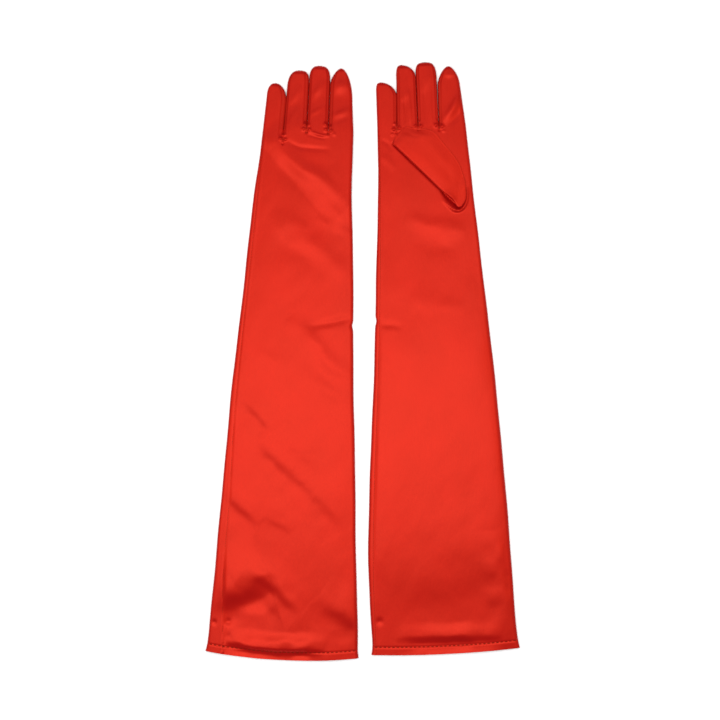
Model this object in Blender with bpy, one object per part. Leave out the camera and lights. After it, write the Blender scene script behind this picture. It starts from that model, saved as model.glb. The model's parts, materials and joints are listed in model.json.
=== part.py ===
"""A pair of long satin opera gloves lying flat: the left glove back up, the right glove palm up.

Each glove is drawn in its own frame, in metres: +Y from the hem to the fingertips, +X towards the index
finger, +Z up from the table. The left glove's thumb is folded under its palm and lifts the hand a little.
The right glove's thumb is folded over its palm. Each moving part hangs from an empty on its own joint.
"""

import math
from typing import NamedTuple

import bmesh
import bpy
from mathutils import Matrix, Vector

# One glove, from the hem at y = 0
GLOVE_LENGTH = 0.602
ELBOW_Y = 0.180
WRIST_Y = 0.424
KNUCKLE_Y = 0.536
HEM_HALF_WIDTH = 0.0765
KNUCKLE_HALF_WIDTH = 0.0452
SIDE_BOW = 0.0006  # how far the sides bow out, half way up the sleeve
UPPER_ARM_STATIONS = (0.015, 0.100)  # where the sleeve's cross-section is set between its ends
FOREARM_STATIONS = (0.260, 0.340)
HAND_STATIONS = (0.480, 0.512)

# The loft of the cloth as it lies, and the shape of its two folded sides
HEM_LOFT = 0.0095
KNUCKLE_LOFT = 0.0072
SHOULDER = 0.006  # the side seam runs this far from the edge, where the top begins to round off
EDGE_HEIGHT = 0.0016
EDGE_RADIUS = 0.0018

# Cloth and thread
SATIN = 0.0006
THREAD = 0.0005
CLEARANCE = 0.00035  # between pieces that are sewn together or lie on each other
JOINT_GAP = 0.0005
PANEL_GAP = 0.0007  # between a finger's panels and fourchettes, at their right sides
SEAM_SLIT = THREAD + 2 * CLEARANCE
TACK_RADII = (0.0016, 0.0011, 0.0003)  # of the knot of thread in each crotch
SEAM_ALLOWANCE = 0.006
HEM_DEPTH = 0.008
HEM_RISE = 0.0009  # the stitches under the hem hold it off the table
HEM_RISE_Y = (0.010, 0.020)
HAND_RISE_Y = (0.430, 0.446)  # where the left hand rises over its thumb

# Fingers
FINGER_LOFT = 0.0066
TIP_LOFT = 0.0015
TIP_ROUNDING = 0.010
TIP_BLUNTNESS = 0.42  # width left at the very tip, as a share of the finger's
FOURCHETTE_ANGLE = 40  # how far up and down a finger's side its fourchette reaches, in degrees
TIP_FOURCHETTE_ANGLE = 14
FINGER_STATIONS = (0.0, 0.3, 0.6, 0.82, 0.92, 0.97, 1.0)
FOURCHETTE_STATIONS = (0.0, 0.3, 0.6, 0.82, 0.92)

# Thumb, along its straight folded edge from the heel
THUMB_HEEL = Vector((0.0333, 0.4483, 0.0))
THUMB_TURN = math.radians(43.3)  # from the glove's length, towards the little finger
THUMB_WIDTH = 0.035
THUMB_LOFT = 0.0060
THUMB_HEIGHT = 0.0086  # of the folded right thumb's underside, over the palm and its stitches
TUCKED_THUMB_LOFT = 0.0030  # pressed flat under the left palm
THUMB_HEEL_WIDTH = 0.0075
THUMB_START = -0.002
THUMB_END = 0.094
HEEL_ROUNDING = 0.037
THUMB_TIP_ROUNDING = 0.018
THUMB_TIP_BLUNTNESS = 0.25  # width left at the very tip, as a share of the thumb's
THUMB_TIP_SHIFT = 0.004  # how far the folded edge turns in at the tip
THUMB_TIP_SHIFT_LENGTH = 0.006
THUMB_EDGE_X = 0.0436  # the outermost point of the folded thumb
THUMB_HOLE = Vector((0.0335, 0.4710, 0.0))
THUMB_HOLE_RADII = (0.006, 0.015)
THUMB_HOLE_TURN = math.radians(-5)
THUMB_HOLE_SEGMENTS = 20
MAX_THUMB_SLIT_ANGLE = 50  # of the gap left for its stitches, in degrees
THUMB_STATIONS = (0.0, 0.08, 0.2, 0.4, 0.62, 0.82, 0.9, 0.96, 1.0)

# The pair on the table
PAIR_X = 0.0827  # from the middle of the pair to the middle of each glove's hem
HEM_Y = (-0.3014, -0.2969)  # left glove, right glove
SPREAD = math.radians(2.7)  # each glove turns this far, so that the fingertips come closer than the hems

RED = (0.72, 0.024, 0.014, 1.0)
DARK_RED = (0.50, 0.014, 0.010, 1.0)
THREAD_RED = (0.42, 0.012, 0.010, 1.0)


class Finger(NamedTuple):
    """A finger's two sides at the knuckle, its tip, and its middle and half-width near the tip."""

    name: str
    left: float
    right: float
    tip_y: float
    tip_x: float
    tip_half_width: float


PINKY = Finger("pinky", -0.0452, -0.0239, 0.582, -0.0345, 0.0085)
RING = Finger("ring", -0.0231, -0.0017, 0.598, -0.0128, 0.0090)
MIDDLE = Finger("middle", -0.0009, 0.0196, GLOVE_LENGTH, 0.0083, 0.0096)
INDEX = Finger("index", 0.0204, 0.0452, 0.598, 0.0309, 0.0092)

SHARP_ANGLE = math.radians(50)
COLUMNS = (-0.5, 0.0, 0.5)  # points across the cloth's flat top and bottom, as shares of the half-width


def clear_scene():
    for obj in list(bpy.data.objects):
        bpy.data.objects.remove(obj)


def lerp(a, b, share):
    return a + (b - a) * share


def ease(low, high, value):
    """0 below low, 1 above high, and an S-curve between them."""
    share = min(max((value - low) / (high - low), 0.0), 1.0)
    return share * share * (3 - 2 * share)


def satin(name, colour, roughness):
    material = bpy.data.materials.new(name)
    material.use_nodes = True
    shader = material.node_tree.nodes["Principled BSDF"]
    shader.inputs["Base Color"].default_value = colour
    shader.inputs["Roughness"].default_value = roughness
    shader.inputs["Metallic"].default_value = 0.0
    return material


# Meshes


def mesh_of(name, points, faces):
    """A mesh with its faces pointing out."""
    form = bmesh.new()
    corners = [form.verts.new(p) for p in points]
    for face in faces:
        form.faces.new([corners[i] for i in face])
    bmesh.ops.recalc_face_normals(form, faces=form.faces)
    mesh = bpy.data.meshes.new(name)
    form.to_mesh(mesh)
    form.free()
    mesh.shade_smooth()
    mesh.set_sharp_from_angle(angle=SHARP_ANGLE)
    return mesh


def sheet_mesh(name, outer, inner):
    """Cloth between two grids of points, its right side and its wrong side, each a list of rows."""
    rows, columns = len(outer), len(outer[0])
    size = rows * columns
    points = [p for row in outer + inner for p in row]
    faces = []
    for j in range(rows - 1):
        for i in range(columns - 1):
            a = j * columns + i
            quad = (a, a + 1, a + 1 + columns, a + columns)
            faces += [quad, tuple(size + k for k in reversed(quad))]
    right_way = [i for i in range(columns)]
    right_way += [j * columns + columns - 1 for j in range(1, rows)]
    right_way += [(rows - 1) * columns + i for i in range(columns - 2, -1, -1)]
    right_way += [j * columns for j in range(rows - 2, 0, -1)]
    for a, b in zip(right_way, right_way[1:] + right_way[:1]):
        faces.append((a, b, size + b, size + a))
    return mesh_of(name, points, faces)


def rod_mesh(name, sections, closed=False):
    """A rod or a ring through sections, each the corners of its outline there."""
    corners = len(sections[0])
    points = [p for section in sections for p in section]
    faces = []
    spans = len(sections) if closed else len(sections) - 1
    for j in range(spans):
        here, there = j * corners, (j + 1) % len(sections) * corners
        for i in range(corners):
            k = (i + 1) % corners
            faces.append((here + i, here + k, there + k, there + i))
    if not closed:
        last = (len(sections) - 1) * corners
        faces += [tuple(range(corners)), tuple(last + i for i in reversed(range(corners)))]
    return mesh_of(name, points, faces)


# Cross-sections, as (x, z) points that run clockwise seen from the hem


def inset(path, distance):
    """An open path moved inwards by distance."""
    moved = []
    for i, (x, z) in enumerate(path):
        before, after = path[max(i - 1, 0)], path[min(i + 1, len(path) - 1)]
        dx, dz = after[0] - before[0], after[1] - before[1]
        length = math.hypot(dx, dz)
        moved.append((x + dz / length * distance, z - dx / length * distance))
    return moved


def arc(centre, radii, start, end, steps):
    """An ellipse's arc from start to end, in degrees, both ends included."""
    angles = [math.radians(lerp(start, end, i / steps)) for i in range(steps + 1)]
    return [(centre[0] + radii[0] * math.cos(a), centre[1] + radii[1] * math.sin(a)) for a in angles]


def half_width(y):
    straight = lerp(HEM_HALF_WIDTH, KNUCKLE_HALF_WIDTH, y / KNUCKLE_Y)
    return straight + SIDE_BOW * math.sin(math.pi * min(y / KNUCKLE_Y, 1.0))


def loft(y):
    return lerp(HEM_LOFT, KNUCKLE_LOFT, y / KNUCKLE_Y)


def sleeve_path(y):
    """The sleeve's right side at y, from the side seam over the top, round the fold and back underneath."""
    width, top = half_width(y), loft(y)
    shoulder, under = width - SHOULDER, width - EDGE_RADIUS
    shoulder_radii, edge_radii = (SHOULDER, top - EDGE_HEIGHT), (EDGE_RADIUS, EDGE_HEIGHT)
    slit_angle = math.degrees(math.asin(SEAM_SLIT / 2 / SHOULDER))
    over = [(c * width, top) for c in COLUMNS]
    below = [(c * width, 0.0) for c in reversed(COLUMNS)]
    fold = arc((shoulder, EDGE_HEIGHT), shoulder_radii, 90, 0, 3)
    fold += arc((under, EDGE_HEIGHT), edge_radii, 0, -90, 2)[1:]
    seam_side = arc((-under, EDGE_HEIGHT), edge_radii, -90, -180, 2)
    seam_side += arc((-shoulder, EDGE_HEIGHT), shoulder_radii, -180, -270 + slit_angle, 3)[1:]
    return [(-shoulder + SEAM_SLIT / 2, top)] + over + fold + below + seam_side


def around(middle, width, height, stops):
    """Points on a flattened tube with round sides. A stop is a side, -1 or 1, and an angle in degrees."""
    radius = height / 2
    found = []
    for side, angle in stops:
        a = math.radians(angle)
        x = middle + side * (width - radius) + radius * math.cos(a)
        found.append((x, radius + radius * math.sin(a)))
    return found


def turn(side, start, end, steps):
    return [(side, lerp(start, end, i / steps)) for i in range(steps + 1)]


class Glove:
    """One glove's empties, cloth and thread."""

    def __init__(self, name, palm_up, hem, spread):
        self.name = name
        self.palm_up = palm_up
        self.empties = {}
        self.pivots = {}
        self.thumb_loft = THUMB_LOFT if palm_up else TUCKED_THUMB_LOFT
        self.thumb_z = THUMB_HEIGHT if palm_up else 0.0
        self.hand_lift = 0.0 if palm_up else self.thumb_loft + CLEARANCE
        self.satin = satin(f"{name}_satin", RED, 0.38)
        self.fourchette_satin = satin(f"{name}_fourchette_satin", DARK_RED, 0.45)
        self.wrong_side = satin(f"{name}_satin_wrong_side", DARK_RED, 0.7)
        self.thread = satin(f"{name}_thread", THREAD_RED, 0.5)
        self.place_joints(hem, spread)

    # Joints

    def place_joints(self, hem, spread):
        self.add_pivot("upper_arm", None, Vector((0, 0, 0)))
        self.empties["upper_arm"].location = hem
        self.empties["upper_arm"].rotation_euler = (0, 0, spread)
        self.add_pivot("forearm", "upper_arm", Vector((0, ELBOW_Y, self.fold_height(ELBOW_Y))))
        self.add_pivot("hand", "forearm", Vector((0, WRIST_Y, self.fold_height(WRIST_Y))))
        for finger in (PINKY, RING, MIDDLE, INDEX):
            middle = (finger.left + finger.right) / 2
            self.add_pivot(finger.name, "hand", Vector((middle, KNUCKLE_Y, self.fold_height(KNUCKLE_Y))))
        thumb_x = THUMB_EDGE_X - self.thumb_loft / 2
        self.add_pivot("thumb", "hand", Vector((thumb_x, THUMB_HOLE.y, self.thumb_z + self.thumb_loft / 2)))

    def add_pivot(self, body, parent, point):
        """An empty on the joint that moves this body, at a point in the glove's frame."""
        empty = bpy.data.objects.new(f"{self.name}_{body}_joint", None)
        bpy.context.scene.collection.objects.link(empty)
        self.empties[body], self.pivots[body] = empty, point
        if parent:
            empty.parent = self.empties[parent]
            empty.location = point - self.pivots[parent]

    def fold_height(self, y):
        """The cloth folds up, about a line just over its top."""
        return loft(y) + self.rise(y) + CLEARANCE

    def rise(self, y):
        """How far the cloth's underside is off the table."""
        at_hem = HEM_RISE * (1 - ease(*HEM_RISE_Y, y))
        at_hand = self.hand_lift * ease(*HAND_RISE_Y, y)
        return at_hem + at_hand

    # Objects

    def add(self, mesh, body, material, cutter=None):
        """An object of this mesh, drawn in the glove's frame, that hangs from its body's joint."""
        mesh.transform(Matrix.Translation(-self.pivots[body]))
        mesh.materials.append(material)
        obj = bpy.data.objects.new(mesh.name, mesh)
        obj.parent = self.empties[body]
        bpy.context.scene.collection.objects.link(obj)
        if cutter:
            cut = obj.modifiers.new("thumb_hole", "BOOLEAN")
            cut.operation = "DIFFERENCE"
            cut.solver = "EXACT"
            cut.object = cutter
        return obj

    def rows(self, paths, stations):
        """Cross-section paths at these stations along the glove, as rows of points."""
        return [[Vector((x, y, z + self.rise(y))) for x, z in path] for path, y in zip(paths, stations)]

    def cloth(self, name, body, material, stations, path, depth=0.0, cutter=None):
        """Cloth whose right side is path(y), moved in by depth."""
        outer = [inset(path(y), depth) for y in stations]
        inner = [inset(path(y), depth + SATIN) for y in stations]
        rows = self.rows(outer, stations), self.rows(inner, stations)
        return self.add(sheet_mesh(f"{self.name}_{name}", *rows), body, material, cutter)

    def bar(self, name, body, material, stations, left, width, top, height):
        """A bar along the sleeve: left(y) is its left side's x, and top(y) the height of its top."""
        sections = []
        for y in stations:
            x, z = left(y), top(y) + self.rise(y)
            corners = ((x, z - height), (x, z), (x + width, z), (x + width, z - height))
            sections.append([Vector((cx, y, cz)) for cx, cz in corners])
        self.add(rod_mesh(f"{self.name}_{name}", sections), body, material)

    # The trank: one piece of satin that wraps the arm and hand and meets itself at the side seam

    def side_seam(self, name, body, stations):
        """The seam's stitches, and the double edge of cloth turned in under them."""
        self.bar(
            f"{name}_seam_thread", body, self.thread, stations,
            left=lambda y: SHOULDER - half_width(y) - THREAD / 2,
            width=THREAD, top=loft, height=THREAD,
        )
        inside = [max(stations[0], HEM_DEPTH + CLEARANCE)] + list(stations[1:])
        self.bar(
            f"{name}_seam_allowance", body, self.wrong_side, inside,
            left=lambda y: SHOULDER - half_width(y),
            width=SEAM_ALLOWANCE, top=lambda y: loft(y) - SATIN - CLEARANCE, height=2 * SATIN,
        )

    def upper_arm(self):
        (low, high), (slope_y, middle_y) = HEM_RISE_Y, UPPER_ARM_STATIONS
        stations = (0.0, low, slope_y, high, middle_y, ELBOW_Y - JOINT_GAP / 2)
        self.cloth("upper_sleeve", "upper_arm", self.satin, stations, sleeve_path)
        self.side_seam("upper", "upper_arm", stations)
        turned_in = (CLEARANCE, HEM_DEPTH)
        self.cloth("hem_band", "upper_arm", self.wrong_side, turned_in, sleeve_path, SATIN + CLEARANCE)
        self.hem_thread()

    def hem_thread(self):
        """The ring of stitches round the outside of the hem."""
        y = HEM_DEPTH - THREAD
        path = sleeve_path(y)
        near, far = inset(path, -CLEARANCE), inset(path, -CLEARANCE - THREAD)
        sections = []
        for (nx, nz), (fx, fz) in zip(near, far):
            corners = ((nx, y, nz), (fx, y, fz), (fx, y + THREAD, fz), (nx, y + THREAD, nz))
            sections.append([Vector(c) + Vector((0, 0, self.rise(y))) for c in corners])
        mesh = rod_mesh(f"{self.name}_hem_thread", sections, closed=True)
        self.add(mesh, "upper_arm", self.thread)

    def forearm(self):
        stations = (ELBOW_Y + JOINT_GAP / 2, *FOREARM_STATIONS, WRIST_Y - JOINT_GAP / 2)
        self.cloth("forearm_sleeve", "forearm", self.satin, stations, sleeve_path)
        self.side_seam("forearm", "forearm", stations)

    def hand(self):
        low, high = HAND_RISE_Y
        stations = (
            WRIST_Y + JOINT_GAP / 2, low, (low + high) / 2, high, *HAND_STATIONS, KNUCKLE_Y - JOINT_GAP / 2,
        )
        self.cloth("hand_trank", "hand", self.satin, stations, sleeve_path, cutter=self.thumb_hole())
        self.side_seam("hand", "hand", stations)
        for near, far in ((PINKY, RING), (RING, MIDDLE), (MIDDLE, INDEX)):
            self.tack(f"{near.name}_{far.name}_tack", (near.right + far.left) / 2)

    def tack(self, name, x):
        """The knot of thread that holds a crotch between two fingers."""
        radii = Vector(TACK_RADII)
        y = KNUCKLE_Y - radii.x
        centre = Vector((x, y, loft(y) + self.rise(y) + CLEARANCE + radii.z))
        ball = bmesh.new()
        place = Matrix.Translation(centre) @ Matrix.Diagonal((*radii, 1.0))
        bmesh.ops.create_icosphere(ball, subdivisions=2, radius=1.0, matrix=place)
        mesh = bpy.data.meshes.new(f"{self.name}_{name}")
        ball.to_mesh(mesh)
        ball.free()
        mesh.shade_smooth()
        self.add(mesh, "hand", self.thread)

    # Fingers: a back and a palm panel, closed between the fingers by narrow fourchettes

    def finger_cloth(self, finger, name, material, stops, stations=FINGER_STATIONS):
        """Cloth round part of a finger. stops takes the fourchette's angle and gives the part's path."""
        outer, inner, ys = [], [], []
        for share in stations:
            y = lerp(KNUCKLE_Y + JOINT_GAP / 2, finger.tip_y, share)
            rounded = min((finger.tip_y - y) / TIP_ROUNDING, 1.0)
            fullness = math.sqrt(1 - (1 - rounded) ** 2)
            base_width = (finger.right - finger.left) / 2
            width = lerp(base_width, finger.tip_half_width, share) * lerp(TIP_BLUNTNESS, 1, fullness)
            height = lerp(TIP_LOFT, FINGER_LOFT, fullness)
            middle = lerp((finger.left + finger.right) / 2, finger.tip_x, share)
            angle = lerp(TIP_FOURCHETTE_ANGLE, FOURCHETTE_ANGLE, fullness)
            slit = math.degrees(PANEL_GAP / (height / 2))
            path = around(middle, width, height, stops(angle, slit))
            outer.append(path)
            inner.append(inset(path, SATIN))
            ys.append(y)
        rows = self.rows(outer, ys), self.rows(inner, ys)
        self.add(sheet_mesh(f"{self.name}_{finger.name}_{name}", *rows), finger.name, material)

    def fourchette(self, finger, name, side):
        def stops(angle, slit):
            reach = angle - slit
            return turn(1, reach, -reach, 2) if side > 0 else turn(-1, 180 + reach, 180 - reach, 2)

        self.finger_cloth(finger, name, self.fourchette_satin, stops, FOURCHETTE_STATIONS)

    def panels(self, finger, outer_seam=False):
        """The finger's upper and lower panels. outer_seam closes them at the glove's side seam."""

        def left_angle(angle, slit):
            return slit / 2 if outer_seam else angle

        def upper(angle, slit):
            return turn(-1, 180 - left_angle(angle, slit), 90, 2) + turn(1, 90, angle, 2)

        def lower(angle, slit):
            return turn(1, -angle, -90, 2) + turn(-1, -90, -180 + left_angle(angle, slit), 2)

        up, down = ("palm", "back") if self.palm_up else ("back", "palm")
        self.finger_cloth(finger, up, self.satin, upper)
        self.finger_cloth(finger, down, self.satin, lower)

    @staticmethod
    def folded(angle, slit):
        """Both panels in one piece."""
        return turn(-1, 180 - angle, 90, 2) + turn(1, 90, -90, 4) + turn(-1, -90, -180 + angle, 2)

    def fingers(self):
        self.panels(PINKY, outer_seam=True)
        self.fourchette(PINKY, "fourchette", 1)
        self.panels(RING)
        self.fourchette(RING, "fourchette_pinky_side", -1)
        self.fourchette(RING, "fourchette_middle_side", 1)
        self.panels(MIDDLE)
        self.fourchette(MIDDLE, "fourchette_ring_side", -1)
        self.fourchette(MIDDLE, "fourchette_index_side", 1)
        # The index finger's back and palm are one piece, folded round its outer side
        self.finger_cloth(INDEX, "shell", self.satin, self.folded)
        self.fourchette(INDEX, "fourchette", -1)

    # Thumb: one folded piece, seamed along its curved edge and set into a hole in the palm

    def thumb_hole(self):
        """What cuts the hole through the palm and through the thumb's side that faces it."""
        across, along = THUMB_HOLE_RADII
        hand_middle = self.hand_lift + loft(THUMB_HOLE.y) / 2
        thumb_middle = self.thumb_z + self.thumb_loft / 2
        form = bmesh.new()
        place = Matrix.Translation(THUMB_HOLE + Vector((0, 0, (hand_middle + thumb_middle) / 2)))
        place @= Matrix.Rotation(THUMB_HOLE_TURN, 4, "Z") @ Matrix.Diagonal((across, along, 1, 1))
        bmesh.ops.create_cone(
            form, cap_ends=True, segments=THUMB_HOLE_SEGMENTS, radius1=1, radius2=1,
            depth=abs(hand_middle - thumb_middle), matrix=place,
        )
        mesh = bpy.data.meshes.new(f"{self.name}_thumb_hole")
        form.to_mesh(mesh)
        form.free()
        cutter = bpy.data.objects.new(mesh.name, mesh)
        cutter.parent = self.empties["upper_arm"]
        cutter.hide_render = True
        cutter.display_type = "WIRE"
        bpy.context.scene.collection.objects.link(cutter)
        self.cutter = cutter
        return cutter

    def thumb_section(self, share):
        """(distance along the thumb, its two sides, its loft) at a share of its length."""
        along = lerp(THUMB_START, THUMB_END, share)
        heel = min((along - THUMB_START) / HEEL_ROUNDING, 1.0)
        seam_edge = lerp(THUMB_HEEL_WIDTH, THUMB_WIDTH, math.sin(math.pi / 2 * heel))
        rounded = min((THUMB_END - along) / THUMB_TIP_ROUNDING, 1.0)
        fullness = math.sqrt(1 - (1 - rounded) ** 2)
        seam_edge *= lerp(THUMB_TIP_BLUNTNESS, 1, fullness)
        fold_edge = THUMB_TIP_SHIFT * (1 - ease(0.0, THUMB_TIP_SHIFT_LENGTH, THUMB_END - along))
        return along, fold_edge, seam_edge, lerp(TIP_LOFT, self.thumb_loft, fullness)

    def thumb_frame(self):
        place = Matrix.Translation(THUMB_HEEL + Vector((0, 0, self.thumb_z)))
        return place @ Matrix.Rotation(THUMB_TURN, 4, "Z")

    def thumb(self):
        outer, inner = [], []
        for share in THUMB_STATIONS:
            along, fold_edge, seam_edge, height = self.thumb_section(share)
            slit = min(math.degrees(SEAM_SLIT / height), MAX_THUMB_SLIT_ANGLE)
            stops = turn(1, -slit, -90, 2) + turn(-1, -90, -270, 4) + turn(1, 90, slit, 2)
            middle, width = (fold_edge + seam_edge) / 2, (seam_edge - fold_edge) / 2
            path = around(middle, width, height, stops)
            outer.append([Vector((x, along, z)) for x, z in path])
            inner.append([Vector((x, along, z)) for x, z in inset(path, SATIN)])
        mesh = sheet_mesh(f"{self.name}_thumb_shell", outer, inner)
        mesh.transform(self.thumb_frame())
        self.add(mesh, "thumb", self.satin, self.cutter)
        self.thumb_seam_thread()

    def thumb_seam_thread(self):
        sections = []
        for share in THUMB_STATIONS[1:-2]:
            along, _, seam_edge, height = self.thumb_section(share)
            x, z = seam_edge - THREAD, height / 2
            low, high = z - THREAD / 2, z + THREAD / 2
            corners = ((x, low), (x, high), (x + THREAD, high), (x + THREAD, low))
            sections.append([Vector((cx, along, cz)) for cx, cz in corners])
        mesh = rod_mesh(f"{self.name}_thumb_seam_thread", sections)
        mesh.transform(self.thumb_frame())
        self.add(mesh, "thumb", self.thread)

    def build(self):
        self.upper_arm()
        self.forearm()
        self.hand()
        self.fingers()
        self.thumb()


def main():
    clear_scene()
    left = Glove("left", palm_up=False, hem=Vector((-PAIR_X, HEM_Y[0], 0)), spread=-SPREAD)
    right = Glove("right", palm_up=True, hem=Vector((PAIR_X, HEM_Y[1], 0)), spread=SPREAD)
    left.build()
    right.build()
    bpy.context.view_layer.update()


main()
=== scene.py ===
"""Looks of a pair of red satin opera gloves lying flat: the left one back up, the right one palm up.

Each glove is drawn in its own frame, in metres: y from the hem to the fingertips, x towards the index
finger, z up from the table. The satin is a closed tube of cloth with a right side and a wrong side,
cut into pieces where the CAD's joints are.
"""

import json
import math
from typing import NamedTuple

import bpy
import numpy as np
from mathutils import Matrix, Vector


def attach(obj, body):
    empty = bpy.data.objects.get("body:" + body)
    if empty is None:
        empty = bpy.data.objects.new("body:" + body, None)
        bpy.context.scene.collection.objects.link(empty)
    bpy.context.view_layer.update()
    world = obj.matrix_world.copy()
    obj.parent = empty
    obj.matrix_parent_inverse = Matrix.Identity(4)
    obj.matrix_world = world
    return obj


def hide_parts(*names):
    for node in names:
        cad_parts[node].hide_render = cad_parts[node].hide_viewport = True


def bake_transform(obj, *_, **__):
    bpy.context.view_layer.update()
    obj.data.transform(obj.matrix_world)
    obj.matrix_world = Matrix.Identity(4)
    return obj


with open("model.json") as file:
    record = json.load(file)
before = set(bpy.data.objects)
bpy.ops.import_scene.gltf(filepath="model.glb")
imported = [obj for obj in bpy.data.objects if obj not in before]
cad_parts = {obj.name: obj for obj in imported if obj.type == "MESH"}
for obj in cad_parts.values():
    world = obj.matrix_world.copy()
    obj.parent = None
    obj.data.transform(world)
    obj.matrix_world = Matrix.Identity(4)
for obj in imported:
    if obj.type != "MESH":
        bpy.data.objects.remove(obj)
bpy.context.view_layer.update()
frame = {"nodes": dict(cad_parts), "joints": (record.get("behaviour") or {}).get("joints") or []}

MM = 0.001
ELBOW_Y, WRIST_Y, KNUCKLE_Y = 0.180, 0.424, 0.536
HEM_DEPTH = 0.008
PACKING_CREASE_Y = 0.3405  # it leaves a nick in one side of each glove
CLOTH = 0.32 * MM
THUMB_CLOTH = 0.08 * MM  # thin, so that the thumb's sharp seam edge stays closed
TABLE_GAP = 0.25 * MM  # between the table and the cloth on it
THUMB_GAP = 0.25 * MM  # between the palm and the thumb folded over it
FINGER_GAP = 0.16 * MM
FINGERS = ("pinky", "ring", "middle", "index")
TACKS = ("pinky_ring", "ring_middle", "middle_index")
TOP_COLUMNS, BOTTOM_COLUMNS = 28, 12  # across each quarter of the glove
THUMB_TOP_COLUMNS, THUMB_BOTTOM_COLUMNS = 44, 24
THUMB_SEAM_COLUMN = THUMB_TOP_COLUMNS - 5  # the thumb's stitches run along this one
SIDE_CROWDING, VALLEY_CROWDING = 0.96, 0.8  # of columns, towards a folded side and between fingers
EDGE_TOP, EDGE_BOTTOM = 1.9 * MM, 0.7 * MM  # where the rounding of a folded side starts and ends
VALLEY_TOP, VALLEY_BOTTOM = 3.2 * MM, 0.9 * MM  # the same, between two fingers

# The folded thumb's own frame: u runs to its tip along its straight folded edge, v across to its seam
THUMB_ROOT = np.array((33.5, 454.9)) * MM
THUMB_ALONG = np.array((-0.6911, 0.7228))
THUMB_ACROSS = np.array((0.7228, 0.6911))
LOWEST_TOP = 0.95 * MM  # the upper cloth never sinks through the lower
THUMB_LIFT, PRINT_LIFT = 3.1 * MM, 1.7 * MM  # how far it lifts the left hand's underside and its back


def smooth(low, high, value):
    share = np.clip((value - low) / (high - low), 0.0, 1.0)
    return share * share * (3 - 2 * share)


def lerp(a, b, share):
    return a + (b - a) * share


def dome(share):
    """0 at the edge of a rounded side, rising steeply to 1 where it ends."""
    share = np.clip(share, 0.0, 1.0)
    return np.sqrt(1 - (1 - share) ** 2)


def through(points):
    """A smooth curve x(y) through (y, x) points, in millimetres; it takes and gives metres."""
    ys, xs = np.array(points, float).T * MM
    slopes = np.gradient(xs, ys)

    def value(y):
        y = np.asarray(y, float)
        i = np.clip(np.searchsorted(ys, y) - 1, 0, len(ys) - 2)
        step = ys[i + 1] - ys[i]
        t = np.clip((y - ys[i]) / step, -0.2, 1.2)
        rise = xs[i + 1] - xs[i]
        a = slopes[i] * step - rise
        b = rise - slopes[i + 1] * step
        return xs[i] + t * rise + t * (1 - t) * (a * (1 - t) + b * t)

    return value


class Fold(NamedTuple):
    """A wrinkle along a path of (x, y) points in mm: its width and height in mm, and how far it leans.

    A lean of 1 turns the ridge into a step that is high on the left of the path.
    """

    path: tuple
    width: float
    height: float
    lean: float = 0.0


class Tip(NamedTuple):
    """A fingertip's outline, in mm: its two sides just below the tip, where each side starts to round
    off, its highest point, and how square its left and right shoulders are."""

    left: float
    right: float
    left_y: float
    right_y: float
    top_x: float
    top_y: float
    square: float = 2.2
    square_right: float = 2.2


def bent(path, steps=5):
    """The path as a smooth curve through its points."""
    path = np.array(path, float)
    t = np.arange(len(path))
    fine = np.linspace(0, len(path) - 1, (len(path) - 1) * steps + 1)
    slopes = np.gradient(path, axis=0)
    i = np.clip(fine.astype(int), 0, len(path) - 2)
    s = (fine - t[i])[:, None]
    a, b = path[i], path[i + 1]
    return a + s * (b - a) + s * (1 - s) * ((slopes[i] - b + a) * (1 - s) + (b - a - slopes[i + 1]) * s)


def fold_height(folds, x, y, uneven=1.0):
    """The height of these wrinkles at (x, y), all in metres. The narrow ones vary by the factor uneven."""
    total = np.zeros_like(x)
    px, py = x / MM, y / MM
    for fold in folds:
        path = bent(fold.path)
        reach = 4.2 * fold.width
        low, high = path.min(0) - reach, path.max(0) + reach
        near_by = (px > low[0]) & (px < high[0]) & (py > low[1]) & (py < high[1])
        if not near_by.any():
            continue
        qx, qy = px[near_by], py[near_by]
        lengths = np.hypot(*np.diff(path, axis=0).T)
        whole = lengths.sum()
        best = np.full(qx.shape, 1e9)
        side, share = np.zeros(qx.shape), np.zeros(qx.shape)
        start = 0.0
        for (ax, ay), (bx, by), length in zip(path, path[1:], lengths):
            dx, dy = (bx - ax) / length, (by - ay) / length
            along = np.clip((qx - ax) * dx + (qy - ay) * dy, 0, length)
            ox, oy = qx - ax - along * dx, qy - ay - along * dy
            distance = np.hypot(ox, oy)
            nearer = distance < best
            best = np.where(nearer, distance, best)
            side = np.where(nearer, dx * oy - dy * ox, side)
            share = np.where(nearer, (start + along) / whole, share)
            start += length
        near = best / fold.width
        taper = np.sin(np.pi * np.clip(share, 0.0, 1.0)) ** 0.8
        ridge = np.exp(-near * near)
        step = np.sign(side) * near / (1 + near * near) * (1 - smooth(1.8, 4.2, near))
        vary = lerp(uneven if np.isscalar(uneven) else uneven[near_by], 1.0, smooth(10, 20, fold.width))
        total[near_by] += fold.height * MM * taper * lerp(ridge, step, fold.lean) * vary
    return total


def cloud(x, y, size, seed):
    """Smooth noise from -1 to 1 with lumps of this (x, y) size in mm."""
    grid = np.random.RandomState(seed).uniform(-1, 1, (64, 64))
    fx, fy = x / MM / size[0] + 31.7, y / MM / size[1] + 17.3
    i, j = np.floor(fx).astype(int), np.floor(fy).astype(int)
    tx, ty = fx - i, fy - j
    tx, ty = (t**3 * (t * (6 * t - 15) + 10) for t in (tx, ty))
    at = lambda a, b: grid[(i + a) % 64, (j + b) % 64]
    return lerp(lerp(at(0, 0), at(1, 0), tx), lerp(at(0, 1), at(1, 1), tx), ty)


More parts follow.
